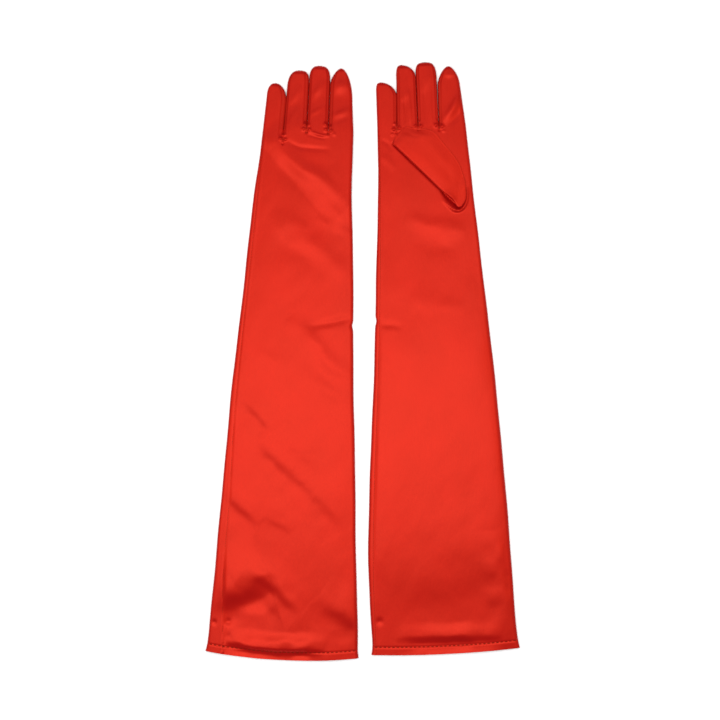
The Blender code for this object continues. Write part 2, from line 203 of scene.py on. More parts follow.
def spots(points, x, y):
    """Round bumps at (x, y, radius, height) in mm."""
    total = np.zeros_like(x)
    for sx, sy, radius, height in points:
        near = ((x / MM - sx) ** 2 + (y / MM - sy) ** 2) / radius**2
        total += height * MM * np.exp(-near)
    return total


def spread(count, left, right):
    """count shares from 0 to 1, crowded towards the left and right ends by these amounts."""
    t = np.linspace(0, 1, count)
    both = (1 - np.cos(np.pi * t)) / 2
    at_left, at_right = 1 - np.cos(np.pi / 2 * t), np.sin(np.pi / 2 * t)
    k = min(left, right)
    return t * (1 - max(left, right)) + both * k + (left - k) * at_left + (right - k) * at_right


def crowding(number, between=VALLEY_CROWDING):
    """How much a quarter's columns crowd towards its left and right sides."""
    return tuple(SIDE_CROWDING if number == outer else between for outer in (0, 3))


# Meshes


def linked(name, data):
    """A new object in the scene."""
    obj = bpy.data.objects.new(name, data)
    bpy.context.scene.collection.objects.link(obj)
    return obj


def tube(name, outer, normals, cloth_at, materials, kinds, capped=False, cloth=CLOTH):
    """A closed tube of cloth through rings of points. kinds gives each column's material."""
    rows, columns, _ = outer.shape
    inner = outer - normals * cloth
    size = rows * columns
    points = np.concatenate([outer.reshape(-1, 3), inner.reshape(-1, 3)])
    j, i = np.meshgrid(np.arange(rows - 1), np.arange(columns), indexing="ij")
    k = (i + 1) % columns
    quads = np.stack([j * columns + i, j * columns + k, (j + 1) * columns + k, (j + 1) * columns + i], -1)
    quads = quads.reshape(-1, 4)
    kind = np.tile(np.asarray(kinds), rows - 1)
    wrong = len(materials) - 1
    i = np.arange(columns)
    k = (i + 1) % columns
    rims = [np.stack([i, i + size, k + size, k], -1)]
    last = (rows - 1) * columns
    if not capped:
        rims.append(np.stack([last + k, last + k + size, last + i + size, last + i], -1))
    faces = [quads, quads[:, ::-1] + size] + rims
    indices = [kind, np.full(len(quads), wrong)] + [np.asarray(kinds)] * len(rims)
    faces = np.concatenate(faces).tolist()
    indices = np.concatenate(indices).tolist()
    if capped:
        faces += [list(range(last, last + columns)), list(range(last + size, last + size + columns))[::-1]]
        indices += [int(kinds[0]), wrong]
    mesh = bpy.data.meshes.new(name)
    mesh.from_pydata(points.tolist(), [], faces)
    for material in materials:
        mesh.materials.append(material)
    mesh.polygons.foreach_set("material_index", indices)
    both = np.concatenate([normals.reshape(-1, 3), -normals.reshape(-1, 3)])
    if signed_volume(points, faces) < 0:
        mesh.flip_normals()
    mesh.shade_smooth()
    mesh.normals_split_custom_set_from_vertices(both.tolist())
    add_cloth(mesh, np.concatenate([cloth_at.reshape(-1, 3)] * 2))
    return linked(name, mesh)


def signed_volume(points, faces):
    sample = [f for f in faces if len(f) == 4]
    q = points[np.array(sample)]
    a, b, c, d = q[:, 0], q[:, 1], q[:, 2], q[:, 3]
    return (np.einsum("ij,ij->i", a, np.cross(b, c)) + np.einsum("ij,ij->i", a, np.cross(c, d))).sum()


def solid(name, points, faces, material, rounded=True):
    """A small closed piece."""
    mesh = bpy.data.meshes.new(name)
    mesh.from_pydata(points.tolist(), [], faces)
    mesh.materials.append(material)
    if signed_volume(points, faces) < 0:
        mesh.flip_normals()
    if rounded:
        mesh.shade_smooth()
    add_cloth(mesh, points)
    return linked(name, mesh)


def add_cloth(mesh, at):
    """Where each point is on the flat cloth: an attribute for the weave, and a UV map for its grain."""
    attribute = mesh.attributes.new("cloth", "FLOAT_VECTOR", "POINT")
    attribute.data.foreach_set("vector", at.astype(np.float32).ravel())
    uv = mesh.uv_layers.new(name="grain")
    corners = np.zeros(len(mesh.loops), np.int32)
    mesh.loops.foreach_get("vertex_index", corners)
    uv.data.foreach_set("uv", at[corners, :2].astype(np.float32).ravel())


def ring_normals(p):
    """Outward normals of rings of points that run over the top to the right and back underneath."""
    across = np.roll(p, -1, axis=1) - np.roll(p, 1, axis=1)
    along = np.gradient(p, axis=0)
    n = np.cross(across, along)
    length = np.linalg.norm(n, axis=2, keepdims=True)
    return n / np.maximum(length, 1e-12)


def stitches(name, line, length, gap, radius, lift=0.35):
    """Short lengths of thread laid end to end along a line of points, their ends sunk in the cloth."""
    line = np.asarray(line, float)
    steps = np.linalg.norm(np.diff(line, axis=0), axis=1)
    at = np.concatenate([[0], np.cumsum(steps)])
    whole = at[-1]
    count = max(1, int((whole + gap) / (length + gap)))
    length = (whole + gap) / count - gap
    starts = np.arange(count) * (length + gap)
    sides, rings = 6, 6
    share = np.linspace(0, 1, rings)
    s = starts[:, None] + length * share[None]
    centre = np.stack([np.interp(s, at, line[:, k]) for k in range(3)], -1)
    centre[..., 2] += radius * (lift + 0.75 * (np.sin(np.pi * share) ** 0.5 - 1))
    along = np.gradient(centre, axis=1)
    along /= np.linalg.norm(along, axis=2, keepdims=True)
    over = np.cross(along, (0, 0, 1.0))
    over /= np.linalg.norm(over, axis=2, keepdims=True)
    up = np.cross(over, along)
    turn = np.arange(sides) * 2 * np.pi / sides
    thick = radius * (0.45 + 0.55 * np.sin(np.pi * np.clip(share, 0.03, 0.97)) ** 0.4)
    cos, sin = (f(turn)[None, None, :, None] for f in (np.cos, np.sin))
    ring = over[:, :, None] * cos + up[:, :, None] * sin
    points = centre[:, :, None] + ring * thick[None, :, None, None]
    faces = []
    for n in range(count):
        base = n * rings * sides
        for r in range(rings - 1):
            for k in range(sides):
                a, b = base + r * sides + k, base + r * sides + (k + 1) % sides
                faces.append((a, a + sides, b + sides, b))
        faces.append(tuple(base + k for k in range(sides)))
        faces.append(tuple(base + (rings - 1) * sides + k for k in reversed(range(sides))))
    return solid(name, points.reshape(-1, 3), faces, thread_red)


# The gloves


def crown(x, left, right):
    """The lens shape of a flat tube across its width, 1 in the middle."""
    return 1 - 0.26 * ((2 * x - left - right) / (right - left)) ** 4


def thumb_uv(x, y):
    dx, dy = x - THUMB_ROOT[0], y - THUMB_ROOT[1]
    return dx * THUMB_ALONG[0] + dy * THUMB_ALONG[1], dx * THUMB_ACROSS[0] + dy * THUMB_ACROSS[1]


class Glove:
    def __init__(self, side):
        self.side = side
        joints = {j["name"]: j for j in frame["joints"]}
        elbow = joints[f"{side}_elbow_fold"]
        self.across = np.array(elbow["axis"], float)
        self.along = np.array((-self.across[1], self.across[0], 0.0))
        origin = np.array(elbow["pos_m"], float)
        origin[2] = 0.0
        self.origin = origin - ELBOW_Y * self.along
        self.shape()

    def world(self, x, y, z):
        x, y, z = (np.asarray(v, float)[..., None] for v in np.broadcast_arrays(x, y, z))
        return self.origin + x * self.across + y * self.along + z * np.array((0.0, 0.0, 1.0))

    def point(self, x, y, z=0.0):
        return tuple(self.world(x, y, z))

    def shape(self):
        if self.side == "left":
            self.left_edge = through((
                (0, -76.6), (14, -76.3), (96, -72.3), (178, -68.7), (260, -65.0), (341, -59.4), (423, -54.2),
                (464, -51.2), (505, -47.2), (536, -44.9),
            ))
            self.right_edge = through((
                (0, 76.2), (21, 75.6), (102, 70.4), (184, 65.6), (265, 60.3), (346, 56.0), (428, 51.6),
                (468, 48.8), (509, 47.6), (536, 47.2),
            ))
            self.splits = (-23.9, -0.3, 21.6)
            self.crotches = (531, 544, 543)
            self.tips = (
                Tip(-42.6, -22.5, 570, 566, -34.6, 583.2, 2.3, 2.0),
                Tip(-22.3, -0.35, 578, 584, -10.5, 597.2, 2.4, 3.2),
                Tip(-0.15, 21.0, 589, 586, 9.8, 602.8, 2.7, 3.0),
                Tip(21.2, 44.6, 584, 568, 31.8, 601.4, 1.6, 1.8),
            )
            self.hem = (-2.1, 5.4)
            self.seam = through(((0, -60.6), (96, -63.6), (137, -61.8), (260, -59.6), (331, -55.6),
                                 (424, -49.8), (536, -43.6)))
            self.seam_depth = 0.30
            self.fourchettes = ((0, 4.2), (1.6, 3.4), (1.8, 2.4), (3.0, 0))
        else:
            self.left_edge = through((
                (0, -72.8), (16, -72.9), (60, -73.7), (98, -73.5), (179, -67.9), (260, -61.0), (342, -54.6),
                (423, -49.1), (464, -46.3), (505, -44.3), (536, -43.4),
            ))
            self.right_edge = through((
                (0, 75.2), (9, 74.7), (91, 71.9), (173, 69.4), (255, 65.4), (337, 60.2), (418, 54.4),
                (460, 51.2), (500, 48.8), (536, 46.5),
            ))
            self.splits = (-23.6, -2.0, 19.3)
            self.crotches = (541, 540, 539)
            self.tips = (
                Tip(-42.9, -22.1, 572, 568, -38.6, 582.8, 3.0, 1.9),
                Tip(-21.8, -2.0, 584, 587, -16.4, 599.4, 3.2, 1.9),
                Tip(-1.8, 19.2, 590, 580, 7.4, 601.0, 3.2, 3.4),
                Tip(19.8, 42.6, 576, 576, 31.6, 596.2, 1.65, 1.7),
            )
            self.hem = (-0.4, 2.6)
            self.seam = through(((0, -69.8), (98, -68.4), (179, -63.2), (260, -56.4), (342, -50.4),
                                 (424, -45.4), (536, -41.2)))
            self.seam_depth = 0.06
            self.fourchettes = ((0, 2.6), (2.4, 1.8), (2.2, 2.0), (2.6, 0))
        left = self.side == "left"
        self.folds, self.bumps = (LEFT_FOLDS, LEFT_BUMPS) if left else (RIGHT_FOLDS, RIGHT_BUMPS)

    def lift(self, x, y):
        """How far the left hand is held up by its own thumb, 0 to 1."""
        if self.side == "right":
            return 0 * x
        u, v = thumb_uv(x, y)
        under = smooth(-0.014, 0.002, v) * (1 - smooth(0.092, 0.112, u)) * smooth(-0.022, -0.003, u)
        return under * (1 - smooth(KNUCKLE_Y, 0.572, y))

    def loft(self, y):
        return lerp(7.4, 6.2, smooth(0.0, WRIST_Y, y)) * MM

    def edges(self, y):
        phase = 0.0 if self.side == "left" else 1.7
        wave = 0.14 * np.sin(y / 0.0113 + phase) + 0.20 * np.sin(y / 0.0271 + 2.0 * phase)
        wave = wave * MM * smooth(0.0, 0.02, y) * (1 - smooth(0.50, 0.53, y))
        left, right = self.left_edge(y) + wave, self.right_edge(y) + wave * 0.8
        flare = np.exp(-np.maximum(y, 0) / 0.0055)
        left, right = left - 1.9 * MM * flare, right + 1.4 * MM * flare
        nick = 1.1 * MM * np.exp(-(((y - PACKING_CREASE_Y) / 0.0035) ** 2))
        if self.side == "left":
            right = right - nick
        else:
            left = left + nick
        return left, right

    def quarters(self, y):
        """The two sides of each quarter of the glove, which runs on into one finger."""
        left, right = self.edges(y)
        left_k, right_k = self.edges(KNUCKLE_Y)
        cuts = [lerp(left, right, (s * MM - left_k) / (right_k - left_k)) for s in self.splits]
        starts = [left] + [c + FINGER_GAP / 2 for c in cuts]
        ends = [c - FINGER_GAP / 2 for c in cuts] + [right]
        return list(zip(starts, ends))

    def hem_y(self, x, y):
        low, bow = self.hem
        return y + (low + bow * (x / 0.077) ** 2) * MM * (1 - smooth(0.0, 0.08, y))

    def quiet(self, x, y):
        """Slow unevenness of cloth that lies loosely."""
        seed = 3 if self.side == "left" else 11
        along, over = y + 0.5 * x, x - 0.5 * y
        return MM * (
            0.30 * cloud(x, y, (30, 44), seed)
            + 0.10 * cloud(over, along, (13, 26), seed + 1)
        )

    def relief(self, x, y, from_edge):
        calm = 1 - np.exp(-np.maximum(from_edge, 0) / 0.0035)
        seed = 20 if self.side == "left" else 30
        loose = 1 - 0.75 * smooth(0.43, 0.50, y)
        wx = x + MM * loose * (2.0 * cloud(x, y, (26, 26), seed) + 0.5 * cloud(x, y, (8, 8), seed + 1))
        wy = y + MM * loose * (2.0 * cloud(x, y, (26, 26), seed + 2) + 0.5 * cloud(x, y, (8, 8), seed + 3))
        uneven = 1 + 0.40 * cloud(x, y, (15, 15), seed + 4)
        height = (fold_height(self.folds, wx, wy, uneven) + self.quiet(x, y)) * calm
        height = height * lerp(0.35, 1.0, smooth(-0.001, 0.004, x - self.seam(y)))
        return height + spots(self.bumps, x, y)

    def side_shares(self, number, from_left, from_right, y, above):
        """How full a quarter of the glove is, 0 to 1, at these distances from its two sides."""
        whole = 1.0
        for k, distance in enumerate((from_left, from_right)):
            boundary = number + k
            if boundary in (0, 4):
                rounding = 0.0025 if boundary == 0 or not above else 0.0036
                whole = whole * dome(distance / rounding)
                continue
            strip = self.fourchettes[number][k] * MM
            crotch = self.crotches[boundary - 1] * MM
            if above:
                wall = 0.08 + 0.62 * dome(distance / strip) ** 1.3
                share = np.where(distance < strip, wall, 0.70 + 0.30 * dome((distance - strip) / 0.0055))
                groove = 0.13 * np.exp(-(((distance - strip) / 0.00045) ** 2))
                lip = 0.08 * np.exp(-(((distance - strip - 0.0010) / 0.0006) ** 2))
                share = share - groove + lip
            else:
                share = 0.14 + 0.86 * dome(distance / 0.0028)
            whole = whole * lerp(1.0, share, smooth(crotch - 0.0065, crotch + 0.003, y))
        return whole

    def lower_level(self, number, share, outer, inner):
        """The height at a side's edge: folded sides and the valleys between fingers differ."""
        start = outer if number == 0 else inner
        end = outer if number == 3 else inner
        return lerp(start, end, smooth(0.2, 0.8, share))

    def top_of(self, number, x, y, left, right, loft):
        level = self.lower_level(number, (x - left) / (right - left), EDGE_TOP, VALLEY_TOP)
        return level + (loft - level) * self.side_shares(number, x - left, right - x, y, True)

    def bottom_of(self, number, x, y, left, right):
        level = self.lower_level(number, (x - left) / (right - left), EDGE_BOTTOM, VALLEY_BOTTOM)
        return level - level * self.side_shares(number, x - left, right - x, y, False)

    def top(self, x, y):
        """The height of the sleeve's or hand's upper surface at (x, y)."""
        left, right = self.edges(y)
        bow = crown(x, left, right)
        height = 0 * x
        quarters = self.quarters(y)
        for n, (a, c) in enumerate(quarters):
            end = quarters[n + 1][0] if n < 3 else c + MM
            inside = (x >= (a if n else a - MM)) & (x < end)
            near = np.clip(x, a, c)
            height = np.where(inside, self.top_of(n, near, y, a, c, self.loft(y) * bow), height)
        edge = np.minimum(x - left, right - x)
        lifted = self.lift(x, y) * PRINT_LIFT
        height = height + self.relief(x, y, edge) + self.seam_dip(x, y) + self.hem_dip(y)
        height = height + self.thumb_shadow_dip(x, y) + TABLE_GAP
        return np.maximum(height, LOWEST_TOP) + lifted

    # The sleeve and hand

    def trank_rows(self):
        stops = [0.0, 0.4, 1.0, 1.8]
        stops += list(np.arange(2.8, 12.0, 0.9)) + list(np.arange(12.4, 179.0, 1.6)) + [180.0]
        stops += list(np.arange(181.6, 423.0, 1.6)) + [424.0]
        stops += list(np.arange(425.5, 505.0, 1.3)) + list(np.arange(505.6, 535.6, 0.6)) + [536.0]
        return np.array(stops) * MM

    def trank(self):
        ys = self.trank_rows()
        top_x, bottom_x = [], []
        fine = smooth(0.47, 0.53, ys)[:, None]
        quarters = self.quarters(ys)
        for n, (a, c) in enumerate(quarters):
            ends, fingers = crowding(n, 0.0), crowding(n)
            for count, rows in ((TOP_COLUMNS, top_x), (BOTTOM_COLUMNS, bottom_x)):
                share = lerp(spread(count, *ends)[None], spread(count, *fingers)[None], fine)
                rows.append(a[:, None] + (c - a)[:, None] * share)
        top_x = np.concatenate(top_x, 1)
        bottom_x = np.concatenate(bottom_x, 1)[:, ::-1]
        y = ys[:, None] + 0 * top_x
        top_z = self.top(top_x, y)
        bottom_y = ys[:, None] + 0 * bottom_x
        bottom_z = np.concatenate([
            self.bottom_of(3 - n, bottom_x[:, n * BOTTOM_COLUMNS:(n + 1) * BOTTOM_COLUMNS], ys[:, None],
                           quarters[3 - n][0][:, None], quarters[3 - n][1][:, None])
            for n in range(4)
        ], 1)
        bottom_z = bottom_z + TABLE_GAP + THUMB_LIFT * self.lift(bottom_x, bottom_y)
        x = np.concatenate([top_x, bottom_x], 1)
        y = np.concatenate([y, bottom_y], 1)
        z = np.concatenate([top_z, bottom_z], 1)
        p = self.world(x, self.hem_y(x, y), z)
        under = np.zeros_like(x)
        under[:, top_x.shape[1]:] = 1.0
        return ys, p, ring_normals(p), np.stack([x, y, under], -1)

    def thumb_shadow_dip(self, x, y):
        """The trough in the palm along the folded edge of the thumb that lies on it."""
        if self.side == "left":
            return 0 * x
        u, v = thumb_uv(x, y)
        along = smooth(-0.002, 0.012, u) * (1 - smooth(0.086, 0.093, u))
        return -1.3 * MM * along * np.exp(-(((v - 0.2 * MM) / (1.2 * MM)) ** 2))

    def seam_dip(self, x, y):
        """The groove of the side seam, with the small puckers between its stitches."""
        off = (x - self.seam(y)) / MM
        puckers = 1 + 0.45 * np.sin(y / 0.00052)
        groove = -np.exp(-((off / 0.6) ** 2)) * puckers
        lip = 0.5 * np.exp(-(((np.abs(off) - 1.6) / 0.9) ** 2))
        return self.seam_depth * (groove + lip) * MM * (1 - smooth(0.525, 0.536, y))

    def hem_dip(self, y):
        """The row of stitches round the hem, and the thickness of the cloth turned in below it."""
        row = np.exp(-(((y - HEM_DEPTH) / 0.0006) ** 2))
        band = 1 - smooth(HEM_DEPTH - 0.001, HEM_DEPTH + 0.0012, y)
        return (-0.50 * row + 0.25 * band) * MM

    # The fingers

    def finger(self, number, start, start_normals):
        """Rings of points from the knuckle to the tip, which start on the hand's last ring."""
        tip = self.tips[number]
        top_y = tip.top_y * MM
        base_left, base_right = (float(v) for v in self.quarters(np.array(KNUCKLE_Y))[number])
        share = np.linspace(0, 1, 68)
        even = KNUCKLE_Y + (top_y - KNUCKLE_Y) * share
        ys = lerp(even, KNUCKLE_Y + (top_y - KNUCKLE_Y) * np.sin(share * np.pi / 2), smooth(0.0, 0.5, share))
        ys = np.minimum(ys, top_y - 0.12 * MM)
        ys[-1] = top_y - 0.02 * MM

        def side(base, near_tip, from_y, square):
            straight = lerp(base, near_tip * MM, np.clip((ys - KNUCKLE_Y) / (from_y * MM - KNUCKLE_Y), 0, 1))
            t = np.clip((ys - from_y * MM) / ((tip.top_y - from_y) * MM), 0, 1)
            return lerp(tip.top_x * MM, straight, (1 - t**square) ** (1 / square))[:, None]

        left = side(base_left, tip.left, tip.left_y, tip.square)
        right = side(base_right, tip.right, tip.right_y, tip.square_right)
        crowd = crowding(number)
        top_x = left + (right - left) * spread(TOP_COLUMNS, *crowd)[None]
        bottom_x = (left + (right - left) * spread(BOTTOM_COLUMNS, *crowd)[None])[:, ::-1]
        y = ys[:, None]
        fullness = dome((top_y - y) / 0.0050)
        narrow = np.clip((right - left) / 0.020, 0.25, 1)
        wide = (right - left) / narrow
        glove_left, glove_right = self.edges(KNUCKLE_Y)
        bow = crown(top_x, glove_left, glove_right)
        loft = lerp(0.0026, self.loft(KNUCKLE_Y) * bow, fullness)
        top_z = self.top_of(number, (top_x - left) / narrow, y, 0, wide, loft)
        edge = np.minimum(top_x - left, right - top_x)
        top_z = top_z + self.relief(top_x, y + 0 * top_x, edge) * fullness
        bottom_z = lerp(0.0008, self.bottom_of(number, (bottom_x - left) / narrow, y, 0, wide), fullness)
        x = np.concatenate([top_x, bottom_x], 1)
        y = y + 0 * x
        lifts = np.where(np.arange(x.shape[1]) < TOP_COLUMNS, PRINT_LIFT, THUMB_LIFT)
        z = np.concatenate([top_z, bottom_z], 1) + TABLE_GAP + lifts * self.lift(x, y)
        p = self.world(x, y, z)
        p[0] = start
        normals = ring_normals(p)
        normals[0] = start_normals
        under = np.zeros_like(x)
        under[:, TOP_COLUMNS:] = 1.0
        # columns on the fourchette strips take the darker copy of the satin: painted shade between the
        # fingers
        kinds = np.zeros(x.shape[1], int)
        middle = len(ys) // 2
        for strip, off in zip(self.fourchettes[number], (x - left, right - x)):
            if strip:
                kinds[off[middle] < strip * MM] = 1
        return p, normals, np.stack([x, y, under], -1), kinds

    # The thumb

    def thumb_sides(self, u):
        """Where the thumb's folded edge and its seam edge are, across, at these places along it."""
        fold = through(((-4.6, 2.6), (-3.6, 0.2), (-1.5, -0.9), (2, 0.2), (7, 1.3), (13, 1.0), (20, 0.2),
                        (30, 0), (60, 0), (86, 0), (94, 0)))(u)
        seam = through(((-4.6, 3.6), (-4.0, 7.0), (-1.0, 12.6), (3.6, 17.4), (9, 22.4), (16.3, 27.0),
                        (27.7, 32.6), (38, 34.8), (45.7, 35.8), (56.8, 37.2), (64, 38.0), (68.5, 37.9),
                        (73.1, 36.4), (79.7, 31.4), (86.6, 26.1), (94, 22.0)))(u)
        end = np.clip((u - 0.0900) / (0.0932 - 0.0900), 0, 1)
        fold = lerp(fold, 0.0188, 1 - (1 - end**1.6) ** 0.8)
        return fold, np.maximum(lerp(seam, 0.0202, end**4), fold + 0.0008)

    def thumb(self):
        """Rings of points round the flattened thumb, from where it leaves the palm to its tip."""
        start, end = -4.55, 93.15
        stops = np.concatenate([
            [start, -4.45, -4.2, -3.8, -3.2, -2.4, -1.4], np.arange(0, 86, 1.3), np.arange(86.6, 92.2, 0.7),
            [92.5, 92.8, 93.0, end],
        ])
        us = stops * MM
        fold, seam = (e[:, None] for e in self.thumb_sides(us))
        u = us[:, None]
        across = spread(THUMB_TOP_COLUMNS, 0.95, 0.95)[None]
        back = spread(THUMB_BOTTOM_COLUMNS, 0.95, 0.95)[None, ::-1]
        top_v, bottom_v = fold + (seam - fold) * across, fold + (seam - fold) * back
        wide = seam - fold
        ends = dome((u - start * MM) / 0.006) * dome((end * MM - u) / 0.005)
        if self.side == "right":
            full = lerp(1.0, 3.2, smooth(-0.004, 0.070, u)) * (1 - 0.3 * smooth(0.084, 0.093, u)) * MM
            thin = 0.45 * MM
        else:
            full, thin = 2.7 * MM, 2.0 * MM

        def section(v, above):
            share = (v - fold) / np.maximum(wide, 1e-6)
            thick = lerp(full, thin, share**0.8) * lerp(0.5, 1.0, ends)
            narrow = np.clip(wide / 0.012, 0.15, 1)
            side = dome((v - fold) / (0.0018 * narrow)) * dome((seam - v) / (0.0034 * narrow))
            return thick * (0.45 + 0.55 * side) if above else thick * (0.45 - 0.45 * side)

        x_of = lambda v: THUMB_ROOT[0] + u * THUMB_ALONG[0] + v * THUMB_ACROSS[0]
        y_of = lambda v: THUMB_ROOT[1] + u * THUMB_ALONG[1] + v * THUMB_ACROSS[1]
        v = np.concatenate([top_v, bottom_v], 1)
        x, y = x_of(v), y_of(v)
        z = np.concatenate([section(top_v, True), section(bottom_v, False)], 1)
        if self.side == "right":
            close = smooth(0.014, 0.001, seam - v) * smooth(0.006, 0.016, u)
            on = lerp(self.palm_under_thumb(x, y), self.top(x, y) - 0.05 * MM, close)
            seam_line = np.exp(-(((seam - v) / MM - 2.3) / 0.45) ** 2) * smooth(0.008, 0.02, u)
            wrinkle = fold_height(THUMB_FOLDS, u + 0 * v, v) * dome((v - fold) / 0.004)
            puckers = 0.16 * MM * np.sin(u / 0.00056) * np.exp(-(((v - fold) / 0.0012) ** 2))
            top_only = np.concatenate([top_v * 0 + 1, bottom_v * 0], 1)
            pocket = 1.6 * MM * np.exp(-(((u - 0.0105) / 0.007) ** 2)) * np.exp(-((v - fold) / 0.004))
            marks = wrinkle + puckers * smooth(0.02, 0.05, u) - 0.10 * MM * seam_line
            z = z + on + 0.06 * MM + top_only * marks + pocket
        else:
            z = z + 0.12 * MM
        p = self.world(x, y, z)
        under = np.zeros_like(x)
        under[:, top_v.shape[1]:] = 1.0
        return p, ring_normals(p), np.stack([v + 0.2, u + 0 * v + 0.7, under], -1)

    def palm_under_thumb(self, x, y):
        """The palm's height without its small bumps, for the thumb to lie on."""
        left, right = self.edges(np.minimum(y, KNUCKLE_Y))
        bow = crown(x, left, right)
        return self.loft(y) * bow + TABLE_GAP + THUMB_GAP


THUMB_FOLDS = (
    Fold(((20, 6), (45, 9), (80, 10)), 6.0, 0.35),
    Fold(((4, 8), (20, 17), (40, 24)), 5.0, -0.4),
    Fold(((62, 34), (74, 27), (88, 16)), 3.0, 0.30),
    Fold(((14, 10), (26, 16), (42, 18)), 6.0, -0.30),
    Fold(((74, 24), (81, 20), (90, 17)), 2.0, -0.35),
)
LEFT_FOLDS = (
    # the thumb's folded edge, printed through the back of the hand
    Fold(((-34, 518), (-8, 502), (20, 484), (50, 458)), 8.0, 1.15),
    Fold(((-38, 503), (-8, 487), (18, 469), (46, 445)), 9.0, -0.4),
    # across the wrist
    Fold(((-34, 450), (0, 430), (24, 410), (54, 386)), 10.5, 0.85),
    Fold(((-24, 424), (4, 406), (28, 386)), 8.0, -0.3),
    Fold(((14, 448), (37, 440), (54, 432)), 5.0, 0.3),
    Fold(((24, 500), (34, 491), (42, 474)), 6.0, 0.25),
    # below the knuckles
    Fold(((-26, 528), (-10, 520), (6, 518), (26, 518)), 2.6, -0.5),
    Fold(((-22, 517), (-4, 511), (14, 509), (28, 510)), 4.5, 0.1),
    Fold(((0, 536), (8, 534.5), (16, 532.5), (24, 532)), 1.3, 0.75),
    Fold(((0, 532.5), (10, 530.5), (20, 528.5)), 1.3, -0.45),
    # on the fingers
    Fold(((22, 551), (34, 556), (47, 562)), 2.8, 0.8),
    Fold(((24, 545), (34, 549), (45, 554)), 2.2, -0.4),
    Fold(((22, 578), (42, 589)), 6.5, 1.1),
    Fold(((0, 551), (9, 556), (18, 561)), 2.4, 0.55),
    Fold(((3, 566), (9, 576), (17, 588)), 4.0, 0.8),
    Fold(((-20, 562), (-13, 571), (-8, 582)), 3.6, 0.6),
    Fold(((-19, 540), (-15, 550), (-10, 560)), 3.6, 0.55),
    Fold(((-8, 547), (-7, 560), (-6, 574)), 1.6, -0.3),
    # the packing crease and its wrinkles
    Fold(((10, 337), (36, 342), (59, 349)), 4.0, -0.6),
    Fold(((-10, 346), (22, 314), (58, 284)), 9.0, 1.0),
    Fold(((-44, 307), (-24, 302), (-4, 293)), 8.0, 0.35),
    Fold(((2, 300), (26, 276), (56, 262)), 8.0, 0.5),
    # down the forearm
    Fold(((-54, 264), (-38, 245), (-22, 227)), 7.0, 1.0, 1),
    Fold(((-40, 220), (-16, 198), (5, 182), (26, 170)), 9.0, 1.25, 1),
    Fold(((-18, 223), (9, 205), (38, 186)), 8.5, 0.75, 1),
    Fold(((14, 176), (34, 156), (56, 130)), 8.5, 0.7, 1),
    Fold(((-74, 168), (-52, 148), (-30, 132)), 6.5, 0.8, 1),
    Fold(((-28, 143), (-12, 136), (4, 127)), 5.0, 0.35, 1),
    # the upper sleeve
    Fold(((-88, 41), (-16, 72)), 15.0, 4.8, 1),
    Fold(((-48, 66), (-14, 86)), 8.0, 1.2, 1),
    Fold(((-42, 88), (16, 46)), 8.0, 1.3, 1),
    Fold(((30, 60), (58, 42), (92, 18)), 10.0, 1.6, 1),
    Fold(((-60, 12), (-10, 9.0), (44, 8.0)), 5.0, 5.5, 1),
    Fold(((160, 342), (0, 340), (-160, 338)), 60.0, 1.0, 1),
)
LEFT_BUMPS = (
    (-2.4, 542.8, 1.9, 1.5), (1.6, 541.8, 1.6, 1.0), (18.4, 543.4, 1.9, 1.5), (23.6, 541.0, 1.7, 1.1),
    (-22.6, 530.6, 1.7, 0.8), (-26.2, 527.0, 1.5, 1.3), (-21.4, 526.2, 1.5, 1.2), (-24.0, 521.8, 1.3, -0.9),
    (-24.4, 530.6, 1.1, 0.8),
    (-23.8, 524.4, 1.0, -0.8), (-3.4, 537.8, 1.7, 1.5), (2.6, 537.2, 1.6, 1.3), (-0.4, 534.2, 1.1, -0.8),
    (-2.6, 542.0, 1.2, 0.9), (0.2, 536.2, 0.9, -0.5), (19.0, 538.0, 1.7, 1.5), (24.4, 537.2, 1.6, 1.3),
    (21.8, 534.2, 1.1, -0.8), (19.4, 542.4, 1.2, 0.9), (27.8, 533.6, 1.5, 0.5), (21.4, 536.4, 0.9, -0.5),
    (-56.5, 33.5, 3.0, -0.9), (-70.6, 31.5, 2.3, -0.7), (-55.0, 19.0, 3.0, -0.3),
)
